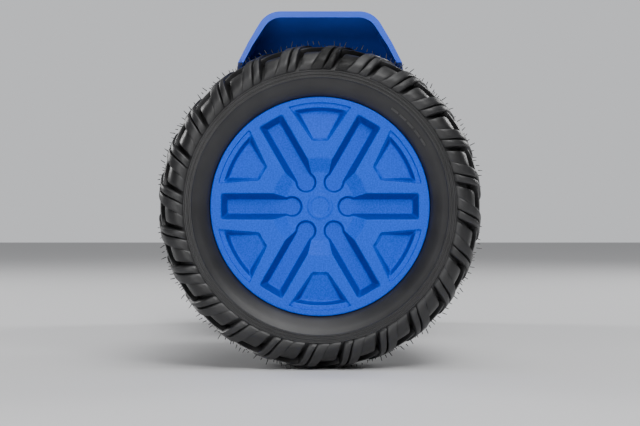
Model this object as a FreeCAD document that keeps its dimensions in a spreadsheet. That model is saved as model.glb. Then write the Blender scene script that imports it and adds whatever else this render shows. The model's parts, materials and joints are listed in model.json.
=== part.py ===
"""Self balancing hoverboard: two hinged half decks, two hub motor wheels.

Frame: origin on the floor under the middle, +X along the axle to the right
wheel, +Y to the front, +Z up.  Millimetres.
"""
import FreeCAD
import Part
import Sketcher
import math
import os
import re

SIZES = {
    # wheel
    "axle_up": 100.0, "wheel_x": 292.0, "tyre_rad": 100.0, "tyre_half": 45.0,
    "bead_rad": 62.0, "flange_rad": 67.2, "drum_bore": 57.0, "shaft_rad": 8.5,
    "gap_rad": 53.3, "stator_rad": 52.5,
    # deck halves
    "deck_top": 122.0, "belly": 52.0, "waist_belly": 68.0,
    "deck_half": 88.0, "waist_half": 37.0,
    "half_gap": 3.0, "waist_x": 26.0, "flare_x": 62.0, "deck_x": 96.0,
    "arch_x": 214.0, "end_x": 243.0, "skin": 3.0,
    # hood over the tyre, measured from the axle
    "hood_up": 121.9, "hood_half": 33.3, "kink_up": 102.8, "kink_half": 44.7,
    "foot_up": 18.0, "hood_out": 299.0, "hood_roof": 3.8, "hood_side": 2.4,
    # centre pivot
    "tube_rad": 11.0, "tube_bore": 8.0, "bush_rad": 13.5, "collar_rad": 17.5,
    "collar_in": 8.0, "collar_out": 60.0,
    # frame and electrics
    "plate_low": 90.0, "plate_high": 96.0, "frame_half": 70.0, "frame_end": 232.0,
    "pad_near": 72.0, "pad_far": 196.0, "pad_half": 66.0, "pad_top": 124.0,
    "cable_rad": 2.5,
}

doc = FreeCAD.newDocument("hoverboard")
sheet = doc.addObject("Spreadsheet::Sheet", "dims")
for row, (alias, size) in enumerate(SIZES.items(), start=1):
    sheet.set("A%d" % row, alias)
    sheet.set("B%d" % row, str(size))
    sheet.setAlias("B%d" % row, alias)
doc.recompute()

NODES = {}


def full(text):
    """Expression text with each size name pointing at the sheet."""
    return re.sub(r"[a-z_]+", lambda m: "dims." + m.group() if m.group() in SIZES else m.group(), str(text))


def amount(text):
    return float(sheet.evalExpression(full(text)))


def new_body(label, place=(0, 0, 0)):
    body = doc.addObject("PartDesign::Body", label)
    body.Label = label
    for axis, text in zip("xyz", place):
        body.setExpression("Placement.Base." + axis, full(text))
    NODES[label] = body
    return body


def wheel_body(label):
    """A body whose own X axis is the axle, with its origin in the wheel's middle."""
    return new_body(label, ("wheel_x", 0, "axle_up"))


def origin_item(body, role):
    return next(item for item in body.Origin.OriginFeatures if item.Role == role)


def sketch(body, plane, lift, outlines):
    """Closed outlines on an origin plane: lists of (u, v), or one (u, v, radius) circle."""
    item = body.newObject("Sketcher::SketchObject", body.Label + "_sketch")
    item.AttachmentSupport = [(origin_item(body, plane + "_Plane"), "")]
    item.MapMode = "FlatFace"
    item.setExpression("AttachmentOffset.Base.z", full(lift))
    zero = FreeCAD.Vector(0, 0, 0)
    for outline in outlines:
        if isinstance(outline, tuple):
            u, v, radius = outline
            centre = FreeCAD.Vector(amount(u), amount(v), 0)
            ring = item.addGeometry(Part.Circle(centre, zero + FreeCAD.Vector(0, 0, 1), amount(radius)), False)
            bound = [("DistanceX", ring, 3, u), ("DistanceY", ring, 3, v)]
            key = item.addConstraint(Sketcher.Constraint("Radius", ring, amount(radius)))
            item.setExpression("Constraints[%d]" % key, full(radius))
        else:
            spots = [FreeCAD.Vector(amount(u), amount(v), 0) for u, v in outline]
            first = item.GeometryCount
            count = len(spots)
            item.addGeometry([Part.LineSegment(spots[k], spots[(k + 1) % count]) for k in range(count)], False)
            item.addConstraint([Sketcher.Constraint("Coincident", first + k, 2, first + (k + 1) % count, 1)
                                for k in range(count)])
            bound = []
            for k, (u, v) in enumerate(outline):
                bound += [("DistanceX", first + k, 1, u), ("DistanceY", first + k, 1, v)]
        for kind, geometry, point, text in bound:
            key = item.addConstraint(Sketcher.Constraint(kind, -1, 1, geometry, point, amount(text)))
            item.setExpression("Constraints[%d]" % key, full(text))
    return item


def feature(body, kind, **values):
    """A design feature; text values are expressions.  It must change the volume."""
    before = body.Shape.Volume if body.Tip else 0.0
    item = body.newObject("PartDesign::" + kind, body.Label + "_" + kind.lower())
    for name, value in values.items():
        if isinstance(value, str) and name in ("Length", "Radius", "Size", "Angle"):
            item.setExpression(name, full(value))
        else:
            setattr(item, name, value)
    body.Tip = item
    doc.recompute()
    if "Invalid" in item.State or "Error" in item.State or item.Shape.isNull():
        raise RuntimeError("%s: %s failed" % (body.Label, kind))
    if abs(body.Shape.Volume - before) < 1e-3:
        raise RuntimeError("%s: %s changes nothing" % (body.Label, kind))
    return item


def pad(body, plane, lift, outlines, length, both=False):
    return feature(body, "Pad", Profile=sketch(body, plane, lift, outlines), Length=str(length), Midplane=both)


def cut(body, plane, lift, outlines, length, both=False):
    """Removes material from the plane onwards, the way the plane faces."""
    return feature(body, "Pocket", Profile=sketch(body, plane, lift, outlines), Length=str(length),
                   Midplane=both, Reversed=not both)


def turn(body, outlines, kind="Revolution"):
    """Turns (distance along, radius) outlines a full circle about the body's X axis."""
    item = sketch(body, "XZ", 0, outlines)
    return feature(body, kind, Profile=item, ReferenceAxis=(item, ["H_Axis"]), Angle=360.0)


def loft(body, sections, kind="AdditiveLoft"):
    items = [sketch(body, "YZ", place, [outline]) for place, outline in sections]
    return feature(body, kind, Profile=items[0], Sections=items[1:])


def around(body, originals, count):
    """Repeats features evenly around the body's X axis."""
    return feature(body, "PolarPattern", Originals=originals, Axis=(origin_item(body, "X_Axis"), [""]),
                   Angle=360.0, Occurrences=count)


def picked(body, wanted):
    return (body.Tip, ["Edge%d" % (k + 1) for k, edge in enumerate(body.Tip.Shape.Edges) if wanted(edge.BoundBox)])


def soften(body, radius, wanted):
    return feature(body, "Fillet", Base=picked(body, wanted), Radius=radius)


def box(u_low, u_high, v_low, v_high):
    return [(u_low, v_low), (u_high, v_low), (u_high, v_high), (u_low, v_high)]


def band(u_low, u_high, v_half):
    return box(u_low, u_high, "-(%s)" % v_half, v_half)


def posts(spots, radius):
    return [(x, y, radius) for x, y in spots]


def both_ways(spots):
    return [(x, sign + y) for x, y in spots for sign in ("", "-")]


# ---------------------------------------------------------------- wheel, right
tyre = wheel_body("tyre_right")
turn(tyre, [[("36", 68.2), ("40.5", 72), ("43.6", 78.4), ("tyre_half", 84), ("44", 90), ("40", 95.5),
             ("32", 98.6), ("15", "tyre_rad"), ("-15", "tyre_rad"), ("-32", 98.6), ("-40", 95.5),
             ("-44", 90), ("-tyre_half", 84), ("-43.6", 78.4), ("-40.5", 72), ("-36", 68.2),
             ("-33.2", 67.7), ("-29", 67.7), ("-29", "bead_rad + 0.3"), ("-20", "bead_rad + 0.3"),
             ("-23", 67), ("-34.5", 74), ("-37", 82), ("-33", 88), ("-18", 90.5), ("18", 90.5), ("33", 88),
             ("37", 82), ("34.5", 74), ("23", 67), ("20", "bead_rad + 0.3"), ("29", "bead_rad + 0.3"),
             ("29", 67.7), ("33.2", 67.7)]])
gaps = [cut(tyre, "XY", "tyre_rad - 5.5", [[(near, a), (far, b), (far, c), (near, d)]], 8)
        for near, far, a, b, c, d in ((9, 47, -4.5, 1.5, 7.5, -1.0), (-9, -47, -4.5, 1.5, 7.5, -1.0))]
around(tyre, gaps, 24)

rim = wheel_body("rim_right")
turn(rim, [[(24, 0), (24, 60.5), (33, 60.5), (33, "flange_rad"), (29.3, "flange_rad"), (29.3, "bead_rad"),
            (-29.3, "bead_rad"), (-29.3, "flange_rad"), (-33, "flange_rad"), (-33, "drum_bore"),
            (19, "drum_bore"), (19, 22), (8.5, 22), (8.5, 17.52), (19, 17.52), (19, 0)]])
hole = cut(rim, "YZ", -33, [(0, 59.5, 1.8)], 9)
around(rim, [hole], 6)

magnets = wheel_body("magnets_right")
first = pad(magnets, "XY", "gap_rad", [band(-19, 11, 5.2)], 3)
around(magnets, [first], 30)

motor_cover = wheel_body("motor_cover_right")
turn(motor_cover, [[(-36, "shaft_rad + 0.5"), (-36, 62.5), (-33, 62.5), (-33, "drum_bore - 0.3"),
                    (-30, "drum_bore - 0.3"), (-30, 22), (-23, 22), (-23, 17.52), (-33, 17.52),
                    (-33, "shaft_rad + 0.5")]])
hole = cut(motor_cover, "YZ", -37, [(0, 59.5, 1.8)], 5)
around(motor_cover, [hole], 6)

motor_screws = wheel_body("motor_screws_right")
shank = pad(motor_screws, "YZ", -36, [(0, 59.5, 1.5)], 10)
head = pad(motor_screws, "YZ", -38, [(0, 59.5, 2.7)], 2)
around(motor_screws, [shank, head], 6)

bearings = wheel_body("bearings_right")
turn(bearings, [[(u, "shaft_rad + 0.02"), (u, 11), (u + 0.6, 11.4), (u + 0.6, 14.6), (u, 15), (u, 17.5),
                 (u + 10, 17.5), (u + 10, 15), (u + 9.4, 14.6), (u + 9.4, 11.4), (u + 10, 11),
                 (u + 10, "shaft_rad + 0.02")] for u in (-33, 8.5)])

cover = wheel_body("wheel_cover_right")
turn(cover, [[(24, 0), (24, 22), (27, 22), (27, 54), (24, 54), (24, 60.2), (33.3, 60.2),
              (33.3, "flange_rad"), (36.2, "flange_rad"), (37, "flange_rad - 0.8"), (37, 29.8), (33, 21.3),
              (33, 8.2), (33.8, 7.8), (33.8, 5.6), (33, 5.2), (33, 0)]])
slot_top = [(-8, 28.9), (-8, 59.6), (-6.8, 60.7), (6.8, 60.7), (8, 59.6), (8, 28.9), (6.3, 17), (-6.3, 17)]
slot_low = [(-4.3, 28.9), (-4.3, 56), (-3.5, 56.8), (3.5, 56.8), (4.3, 56), (4.3, 28.9), (4.2, 18), (-4.2, 18)]
groove = loft(cover, [(37.1, slot_top), (29, slot_low)], "SubtractiveLoft")
well = cut(cover, "YZ", 29, [(0, 17.2, 6.3)], 9)
around(cover, [groove, well], 6)


def sector(radius, half_angle, inner, inner_half, steps=4):
    """A trapezoid with a curved outer side, standing on the +v direction."""
    turned = [half_angle * (1 - 2.0 * k / steps) for k in range(steps + 1)]
    outer = [("%s * sin(%g)" % (radius, a), "%s * cos(%g)" % (radius, a)) for a in turned]
    return outer + [(-inner_half, inner), (inner_half, inner)]


def tilted(points, angle):
    return [("(%s) * cos(%g) - (%s) * sin(%g)" % (u, angle, v, angle),
             "(%s) * sin(%g) + (%s) * cos(%g)" % (u, angle, v, angle)) for u, v in points]


pocket = loft(cover, [(37.1, tilted(sector(62.6, 17.3, 40.4, 4.8), 30)),
                      (31, tilted(sector(58.4, 16.2, 41.2, 3.4), 30))], "SubtractiveLoft")
around(cover, [pocket], 6)

# ------------------------------------------------- motor parts that stand still
axle = wheel_body("axle_right")
turn(axle, [[(-92, 0), (-92, "shaft_rad - 0.8"), (-91.2, "shaft_rad"), (17.8, "shaft_rad"),
             (18.6, "shaft_rad - 0.8"), (18.6, 0)]])
cut(axle, "XY", 6.5, [band(-93, -60, 10)], 4)
cut(axle, "XY", -10.5, [band(-93, -60, 10)], 4)
cut(axle, "YZ", -93, [(0, 0, "cable_rad + 0.7")], 75)

carrier = wheel_body("stator_carrier_right")
turn(carrier, [[(-15, "shaft_rad + 0.02"), (-15, 14), (-8, 15), (-8, 27.7), (2, 27.7), (2, 15), (6, 14),
                (6, "shaft_rad + 0.02")]])

core = wheel_body("stator_core_right")
turn(core, [box(-19, 11, 28, 37)])
tooth = pad(core, "XY", 36, [band(-19, 11, 2.5)], 14.5)
tip = pad(core, "XY", 50.2, [band(-19, 11, 4.6)], 2)
around(core, [tooth, tip], 27)

coils = wheel_body("stator_coils_right")
coil = pad(coils, "XY", 38, [band(-22.5, 14.5, 3.9), band(-19.3, 11.3, 2.8)], 11)
around(coils, [coil], 27)

# ------------------------------------------------------------ half frame, right
BOARD_POSTS = both_ways([("100", "49"), ("190", "49")])
PLATE_POSTS = both_ways([("84", "62"), ("222", "62")])

chassis = new_body("chassis_right")
pad(chassis, "XY", "plate_low", [[(22, -14), (46, -42), (76, "-frame_half"), ("frame_end", "-frame_half"),
                                  ("frame_end", "frame_half"), (76, "frame_half"), (46, 42), (22, 14)]],
    "plate_high - plate_low")
for side in ("", "-"):
    pad(chassis, "XZ", "%s(frame_half - 1.5)" % side, [box(80, "frame_end", 82, 102)], 3, both=True)
pad(chassis, "YZ", "collar_in", [(0, "axle_up", "collar_rad")], "collar_out - collar_in")
pad(chassis, "YZ", 202, [box(-26, 26, 76, "axle_up + 6.5")], "frame_end - 202")
pad(chassis, "XY", 71.6, posts(BOARD_POSTS, 4), "plate_low - 71.6")
pad(chassis, "XY", 70, posts(PLATE_POSTS, 5), "plate_low - 70")
pad(chassis, "XY", "plate_high", posts(both_ways([("92", "34"), ("180", "34")]), 3), 8)
cut(chassis, "YZ", 0, [(0, "axle_up", "bush_rad + 0.02")], "collar_out + 1")
cut(chassis, "YZ", 200, [box("-shaft_rad - 0.3", "shaft_rad + 0.3", "axle_up - 6.5", "axle_up + 8")], 34)
cut(chassis, "YZ", "collar_out", [(0, "axle_up", "bush_rad + 3")], 12)
cut(chassis, "XY", 60, [band(104, 194, 22)], 50)
cut(chassis, "XY", 60, [band(70, 105, 8)], 50)
cut(chassis, "XY", 60, posts(PLATE_POSTS, 2.2), 28)
cut(chassis, "XY", 100, posts([(209, "17.5"), (225, "17.5"), (209, "-17.5"), (225, "-17.5")], 2.8), 10)

clamp = new_body("axle_clamp_right")
pad(clamp, "XY", "axle_up + 6.5", [band(203, 231, 26)], 5.5)
soften(clamp, "4", lambda b: b.ZLength > 5)
cut(clamp, "XY", "axle_up", posts([(209, "17.5"), (225, "17.5"), (209, "-17.5"), (225, "-17.5")], 2.8), 20)

clamp_bolts = new_body("clamp_bolts_right")
CLAMP_SPOTS = [(x, sign + "17.5") for x in (209, 225) for sign in ("", "-")]
pad(clamp_bolts, "XY", "axle_up + 1", posts(CLAMP_SPOTS, 2.5), 12)
pad(clamp_bolts, "XY", "axle_up + 12", posts(CLAMP_SPOTS, 4.2), 4.5)
cut(clamp_bolts, "XY", "axle_up + 14.5", posts(CLAMP_SPOTS, 2.1), 4)

bush = new_body("pivot_bush_right")
pad(bush, "YZ", "collar_in + 0.3", [(0, "axle_up", "bush_rad")], "collar_out - collar_in - 0.6")
cut(bush, "YZ", 0, [(0, "axle_up", "tube_rad + 0.03")], 80)


# ------------------------------------------------------------------ deck shells
def roof_half(half, inset):
    half = "(%s - %s)" % (half, inset)
    up = "(deck_top - %s)" % inset
    return [("-" + half, 99.9), (half, 99.9), (half, 109), ("%s - 9" % half, up), ("9 - %s" % half, up),
            ("-" + half, 109)]


def floor_half(half, inset, low, rise=18):
    half = "(%s - %s)" % (half, inset)
    low = "(%s + %s)" % (low, inset)
    return [("-" + half, 99.9), (half, 99.9), (half, "%s + %g" % (low, rise)), ("%s - 13" % half, low),
            ("13 - %s" % half, low), ("-" + half, "%s + %g" % (low, rise))]


def shell(body, outline, lows, end):
    """Loft from the waist to the flare, then straight out to the end, hollowed by one skin."""
    halves = ("waist_half", "waist_half + 2", "deck_half - 12", "deck_half")
    for inset, kinds in ((0, ("AdditiveLoft", pad)), ("skin", ("SubtractiveLoft", cut))):
        near = "half_gap + %s" % inset
        places = (near, "waist_x", "flare_x", "deck_x")
        loft(body, [(place, outline(half, inset, low)) for place, half, low in zip(places, halves, lows)],
             kinds[0])
        kinds[1](body, "YZ", "deck_x", [outline("deck_half", inset, lows[-1])],
                 "%s - %s - deck_x" % (end, inset))


top_shell = new_body("top_shell_plain")
shell(top_shell, lambda half, inset, low: roof_half(half, inset), ("", "", "", ""), "arch_x")
pad(top_shell, "XY", 111, [band("pad_near - 5", "pad_far + 5", "pad_half + 5")], "deck_top - 1 - 111")
soften(top_shell, "14", lambda b: b.ZLength > 6 and b.XLength < 0.01 and b.YLength < 0.01
       and b.ZMin > 110.9 and b.ZMax < 120 and 66 < b.XMin < 206)
pad(top_shell, "XY", "plate_high", posts(both_ways([("54", "30"), ("208", "60")]), 4), 24)
cut(top_shell, "XY", 113.5, [band("pad_near - 0.4", "pad_far + 0.4", "pad_half + 0.4")], 20)
cut(top_shell, "XY", 100, [band("pad_near + 5", "pad_far - 5", "pad_half - 6")], 20)
cut(top_shell, "YZ", 0, [(0, "axle_up", "collar_rad + 0.8")], 8)
cut(top_shell, "YZ", "arch_x - 5", [box("skin - deck_half", "deck_half - skin", 99, 109)], 8)
cut(top_shell, "YZ", "arch_x - 5", [box("skin + 9 - deck_half", "deck_half - skin - 9", 99, 118)], 8)

bottom_shell = new_body("bottom_shell_plain")
shell(bottom_shell, floor_half, ("waist_belly", "waist_belly - 2", "belly", "belly"), "end_x")
pad(bottom_shell, "XY", "belly + 1", posts(PLATE_POSTS, 5), "70 - belly - 1")
cut(bottom_shell, "XY", 40, posts(PLATE_POSTS, 4), 19)
cut(bottom_shell, "XY", 40, posts(PLATE_POSTS, 2.2), 40)
cut(bottom_shell, "YZ", 0, [(0, "axle_up", "collar_rad + 0.8")], 8)
cut(bottom_shell, "YZ", 236, [(0, "axle_up", "shaft_rad + 1")], 10)
cut(bottom_shell, "XZ", "-deck_half", [box(108, 184, 77, 91)], 12, both=True)

shell_screws = new_body("shell_screws_right")
pad(shell_screws, "XY", 59, posts(PLATE_POSTS, 1.9), 24)
pad(shell_screws, "XY", 57, posts(PLATE_POSTS, 3.6), 2)
cut(shell_screws, "XY", 56, posts(PLATE_POSTS, 1.6), 2)


def hood(label, inset, near, far):
    """The hood outline, from the axle line up, as a straight block."""
    body = new_body(label)
    side = "%s * hood_side" % inset
    up = "(axle_up + hood_up - %s * hood_roof)" % inset
    right = [("deck_half - " + side, 99.9 - inset), ("deck_half - " + side, "axle_up + foot_up"),
             ("kink_half - " + side, "axle_up + kink_up - %s" % side), ("hood_half - " + side, up)]
    pad(body, "YZ", near, [right + [("-(%s)" % u, v) for u, v in reversed(right)]], "%s - (%s)" % (far, near))
    soften(body, "%s" % (15.5 - 3 * inset), lambda b: b.XLength > 5 and b.ZMin > 215)
    return body


outer = hood("hood_outside", 0, "arch_x + 0.1", "hood_out")
cut(outer, "XZ", 0, [[("arch_x - 5", 124), ("arch_x", 124), (238, "axle_up + hood_up + 1"),
                      ("arch_x - 5", "axle_up + hood_up + 1")]], 240, both=True)
cut(outer, "XZ", 0, [[("end_x", 90), ("hood_out + 5", 90), ("hood_out + 5", "axle_up + 90"),
                      ("hood_out", "axle_up + 90"), ("end_x", "axle_up + 84")]], 240, both=True)
LEAN = 24 / 98.9
soften(outer, "5", lambda b: b.ZMax > 126 and abs(b.XMin - 214 - LEAN * (b.ZMin - 124)) < 0.15
       and abs(b.XMax - 214 - LEAN * (b.ZMax - 124)) < 0.15)
inner = hood("hood_inside", 1, "arch_x - 2", "hood_out + 1")
cut(inner, "XZ", 0, [[("arch_x - 5", 117), ("arch_x + 3.5", 117), ("arch_x + 3.5", 123.5), (241.3, 219.2),
                      (241.3, 225), ("arch_x - 5", 225)]], 240, both=True)
# the liner over the tyre leans out from the wall to the lip
cut(inner, "XZ", 0, [[(240, 90), ("end_x", 90), ("end_x", 192), (260, 205.5), (298, 218.3), (298, 225),
                      (282, 225), (282, 216), (258.6, 208.4), (240, 193.5)]], 240, both=True)
soften(inner, "50", lambda b: b.XLength < 0.01 and abs(b.XMin - 260) < 0.1)
for body in (outer, inner):
    del NODES[body.Label]
fender = doc.addObject("Part::Cut", "fender_shape")
fender.Base, fender.Tool = outer, inner
passage = doc.addObject("Part::Cylinder", "axle_passage")
passage.Radius, passage.Height = amount("shaft_rad + 1"), 40
passage.Placement = FreeCAD.Placement(FreeCAD.Vector(amount("arch_x + 1"), 0, amount("axle_up")),
                                      FreeCAD.Rotation(FreeCAD.Vector(0, 1, 0), 90))
through = doc.addObject("Part::Cut", "fender_right")
through.Base, through.Tool = fender, passage
NODES["fender_right"] = through

foot_pad = new_body("foot_pad_right")
pad(foot_pad, "XY", 117, [band("pad_near", "pad_far", "pad_half")], "pad_top - 117")
soften(foot_pad, "13.6", lambda b: b.ZLength > 5)
soften(foot_pad, "1.2", lambda b: b.ZMin > 123.9)
pad(foot_pad, "XY", 111.5, posts([(100, 0), (172, 0)], 4), 6)

sensor_board = new_body("sensor_board_right")
pad(sensor_board, "XY", 104, [band(88, 184, 38)], 1.6)
pad(sensor_board, "XY", 105.6, [band(95, 105, 5), band(167, 177, 5)], 3)
pad(sensor_board, "XY", 105.6, [band(128, 142, 7)], 1.4)

lamp_lens = new_body("lamp_lens_right")
pad(lamp_lens, "XZ", "-deck_half + 2", [box(108.4, 183.6, 77.4, 90.6)], 6, both=True)
pad(lamp_lens, "XZ", "-deck_half + 4.6", [box(105, 187, 74, 94)], 2.8, both=True)
cut(lamp_lens, "XZ", "-deck_half + 5", [box(111, 181, 80, 88)], 9, both=True)

lamp_board = new_body("lamp_board_right")
pad(lamp_board, "XZ", "-deck_half + 6.8", [box(105, 187, 74, 94)], 1.6, both=True)
pad(lamp_board, "XZ", "-deck_half + 5.5", [box(u, u + 5, 82, 87) for u in range(116, 177, 12)], 2, both=True)


def cable(label, spots):
    """A round cable along straight runs joined by tangent arcs."""
    edges, start = [], FreeCAD.Vector(*spots[0])
    for before, corner, after in zip(spots, spots[1:], spots[2:]):
        before, corner, after = (FreeCAD.Vector(*p) for p in (before, corner, after))
        back, ahead = (before - corner), (after - corner)
        reach = 0.45 * min(back.Length, ahead.Length)
        half = (math.pi - back.getAngle(ahead)) / 2
        back.normalize()
        ahead.normalize()
        enter, leave = corner + back * reach, corner + ahead * reach
        middle = (back + ahead).normalize()
        radius = reach / math.tan(half)
        centre = corner + middle * (radius ** 2 + reach ** 2) ** 0.5
        edges.append(Part.LineSegment(start, enter).toShape())
        edges.append(Part.Arc(enter, centre - middle * radius, leave).toShape())
        print(label, "bend radius %.0f" % radius)
        start = leave
    edges.append(Part.LineSegment(start, FreeCAD.Vector(*spots[-1])).toShape())
    path = Part.Wire(edges)
    way = FreeCAD.Vector(*spots[1]) - FreeCAD.Vector(*spots[0])
    ring = Part.Wire([Part.makeCircle(amount("cable_rad"), FreeCAD.Vector(*spots[0]), way)])
    item = doc.addObject("Part::Feature", label)
    item.Shape = path.makePipeShell([ring], True, True)
    NODES[label] = item


cable("motor_cable_right", [(228, 0, 100), (184, 0, 100), (152, 0, 80), (134, 0, 80)])
cable("motor_cable_left", [(-228, 0, 100), (68, 0, 100), (104, 0, 80), (121, 0, 80)])

status_window = new_body("status_window")
pad(status_window, "XY", 118.2, [band(24.3, 51.7, 7.7)], 4.2)
soften(status_window, "1", lambda b: b.ZMin > 122.3)

# ------------------------------------------------------------------ left side
for label in [name for name in NODES if name.endswith(("_right", "_plain")) and name != "motor_cable_right"]:
    twin = doc.addObject("Part::Mirroring", label.rsplit("_", 1)[0] + "_left")
    twin.Source = NODES[label]
    twin.Base = FreeCAD.Vector(0, 0, 0)
    twin.Normal = FreeCAD.Vector(1, 0, 0)
    NODES[twin.Label] = twin

# --------------------------------------------------------------------- centre
pivot_tube = new_body("pivot_tube")
pad(pivot_tube, "YZ", "-collar_out - 4", [(0, "axle_up", "tube_rad")], "2 * collar_out + 8")
for place in ("collar_out + 0.25", "-collar_out - 1.75"):
    cut(pivot_tube, "YZ", place, [(0, "axle_up", "tube_rad + 3"), (0, "axle_up", "tube_rad - 1")], 1.5)
cut(pivot_tube, "YZ", "-collar_out - 5", [(0, "axle_up", "tube_bore")], "2 * collar_out + 10")

pivot_clips = new_body("pivot_clips")
for place in ("collar_out + 0.3", "-collar_out - 1.6"):
    pad(pivot_clips, "YZ", place, [(0, "axle_up", "tube_rad + 4")], 1.3)
cut(pivot_clips, "YZ", "-collar_out - 5", [(0, "axle_up", "tube_rad - 0.7")], "2 * collar_out + 10")
cut(pivot_clips, "YZ", "-collar_out - 5", [box(-1.5, 1.5, "axle_up", "axle_up + 20")],
    "2 * collar_out + 10")

pivot_spacer = new_body("pivot_spacer")
pad(pivot_spacer, "YZ", "-collar_in", [(0, "axle_up", "collar_rad")], "2 * collar_in")
cut(pivot_spacer, "YZ", "-collar_in - 1", [(0, "axle_up", "tube_rad + 0.3")], "2 * collar_in + 2")

battery = new_body("battery_pack")
pad(battery, "XY", 60.5, [band(-197, -84, 43.5)], "plate_low - 60.5")
soften(battery, "5", lambda b: b.XLength > 50)

bracket = new_body("battery_bracket")
pad(bracket, "XY", 58.5, [band(x, x + 14, 45.5) for x in (-182, -124)], "plate_low - 58.5")
cut(bracket, "XY", 60.5, [band(-200, -100, 43.8)], 40)

main_board = new_body("main_board")
pad(main_board, "XY", 70, [band(92, 198, 54)], 1.6)
pad(main_board, "XY", 71.6, [band(121.5, 133.5, 8)], 15)
pad(main_board, "XY", 71.6, [box(100, 112, 15, 27), box(100, 112, 30, 42), box(150, 170, 18, 38)], 6)

heat_sink = new_body("heat_sink")
pad(heat_sink, "XY", 71.6, [box(144, 184, -42, -14)], 14)
for k in range(6):
    cut(heat_sink, "XY", 75, [box(143, 185, -39.5 + 4 * k, -37 + 4 * k)], 12)

speaker = new_body("speaker")
pad(speaker, "XY", 55, [(112, 34, 15)], 3)
pad(speaker, "XY", 58, [(112, 34, 9)], 6)

# -------------------------------------------- controls in the back of the right half
port_holes = new_body("port_holes")
pad(port_holes, "XZ", "deck_half", [(120, 84, 8.3), (156, 84, 9.3)], 12, both=True)
window_hole = new_body("window_hole")
pad(window_hole, "XY", 118, [band(24, 52, 8)], 10)
for label, plain, tool in (("bottom_shell", bottom_shell, port_holes), ("top_shell", top_shell, window_hole)):
    opened = doc.addObject("Part::Cut", label + "_right")
    opened.Base, opened.Tool = plain, tool
    NODES[opened.Label] = opened
    del NODES[plain.Label], NODES[tool.Label]

power_button = new_body("power_button")
pad(power_button, "XZ", "deck_half - 2", [(120, 84, 8)], 8, both=True)
pad(power_button, "XZ", "deck_half - 5.5", [(120, 84, 10)], 1.6, both=True)
soften(power_button, "1", lambda b: b.YMax < -89.9)

charge_port = new_body("charge_port")
pad(charge_port, "XZ", "deck_half - 3", [(156, 84, 9)], 8, both=True)
pad(charge_port, "XZ", "deck_half + 0.8", [(156, 84, 12)], 1.6, both=True)
cut(charge_port, "XZ", "deck_half + 1", [(156, 84, 6.5)], 8, both=True)

charge_cap = new_body("charge_port_cap")
pad(charge_cap, "XZ", "deck_half + 2.4", [(156, 84, 11.5)], 1.4, both=True)
pad(charge_cap, "XZ", "deck_half + 0.5", [(156, 84, 6.2)], 3, both=True)
pad(charge_cap, "XZ", "deck_half + 2.4", [box(152, 160, 94, 98.5)], 1.4, both=True)

# --------------------------------------------------------------------- writing
doc.recompute()
os.makedirs("parts", exist_ok=True)
for label, item in NODES.items():
    if "Invalid" in item.State or "Error" in item.State or item.Shape.isNull() or not item.Shape.isValid():
        raise RuntimeError("%s is not a good solid" % label)
    item.Shape.exportStep("parts/%s.step" % label)
whole = FreeCAD.BoundBox()
for item in NODES.values():
    whole.add(item.Shape.BoundBox)
print(len(NODES), "nodes", whole)
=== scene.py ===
"""Self balancing hoverboard: the looks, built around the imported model."""

import json
from math import cos, radians, sin, tau

import bmesh
import bpy
import numpy as np
from mathutils import Matrix, Vector


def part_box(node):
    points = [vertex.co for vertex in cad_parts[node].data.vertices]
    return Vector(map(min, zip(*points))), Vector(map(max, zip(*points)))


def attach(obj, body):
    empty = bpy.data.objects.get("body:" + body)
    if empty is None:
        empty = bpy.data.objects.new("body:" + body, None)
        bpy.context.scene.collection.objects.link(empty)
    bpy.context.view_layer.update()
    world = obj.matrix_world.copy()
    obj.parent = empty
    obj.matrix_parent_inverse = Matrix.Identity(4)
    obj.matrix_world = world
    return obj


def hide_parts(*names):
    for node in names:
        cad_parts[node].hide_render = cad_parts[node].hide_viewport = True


bl_info = {
    "name": "Hoverboard Looks",
    "version": (1, 0, 0),
    "blender": (4, 5, 0),
    "location": "View3D > Sidebar > Hoverboard",
    "description": "Tyres, wheel covers, foot pads and finishes of a self balancing hoverboard",
    "category": "Object",
}

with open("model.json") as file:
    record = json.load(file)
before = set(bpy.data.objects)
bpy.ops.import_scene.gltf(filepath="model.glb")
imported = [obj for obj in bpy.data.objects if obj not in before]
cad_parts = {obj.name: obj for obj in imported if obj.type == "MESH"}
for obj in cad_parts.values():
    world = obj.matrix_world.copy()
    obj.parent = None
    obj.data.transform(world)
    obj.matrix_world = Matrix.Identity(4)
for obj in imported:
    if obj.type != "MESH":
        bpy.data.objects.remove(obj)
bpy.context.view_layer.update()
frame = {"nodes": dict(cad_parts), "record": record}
SIDES = {"right": 1, "left": -1}
# the right wheel's centre and its outer radius, in metres
WHEEL = (Vector(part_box("tyre_right")[0]) + Vector(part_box("tyre_right")[1])) / 2
RADIUS = (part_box("tyre_right")[1].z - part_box("tyre_right")[0].z) / 2


# ------------------------------------------------------------------ settings
class HoverboardTyre(bpy.types.PropertyGroup):
    lug_count: bpy.props.IntProperty(name="Lugs", description="Shoulder lugs on each side", default=24, min=8)
    lug_height: bpy.props.FloatProperty(name="Lug height", description="Lug top above the carcass",
                                        default=0.0052, unit="LENGTH")
    slot_angle: bpy.props.FloatProperty(name="Slot", default=0.8, min=0.1,
                                        description="Width of the slot that splits a lug, in degrees")
    groove_angle: bpy.props.FloatProperty(name="Groove", default=1.8, min=0.1,
                                          description="Width of the groove beside a lug, in degrees")
    slant: bpy.props.FloatProperty(name="Slant", description="How far a lug leans over from foot to shoulder",
                                   default=radians(5.0), subtype="ANGLE")
    spew_length: bpy.props.FloatProperty(name="Vent spew", description="Length of the moulding whiskers",
                                         default=0.0034, unit="LENGTH")
    colour: bpy.props.FloatVectorProperty(name="Rubber", description="Tyre rubber", subtype="COLOR", size=3,
                                          default=(0.017, 0.017, 0.018))


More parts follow.
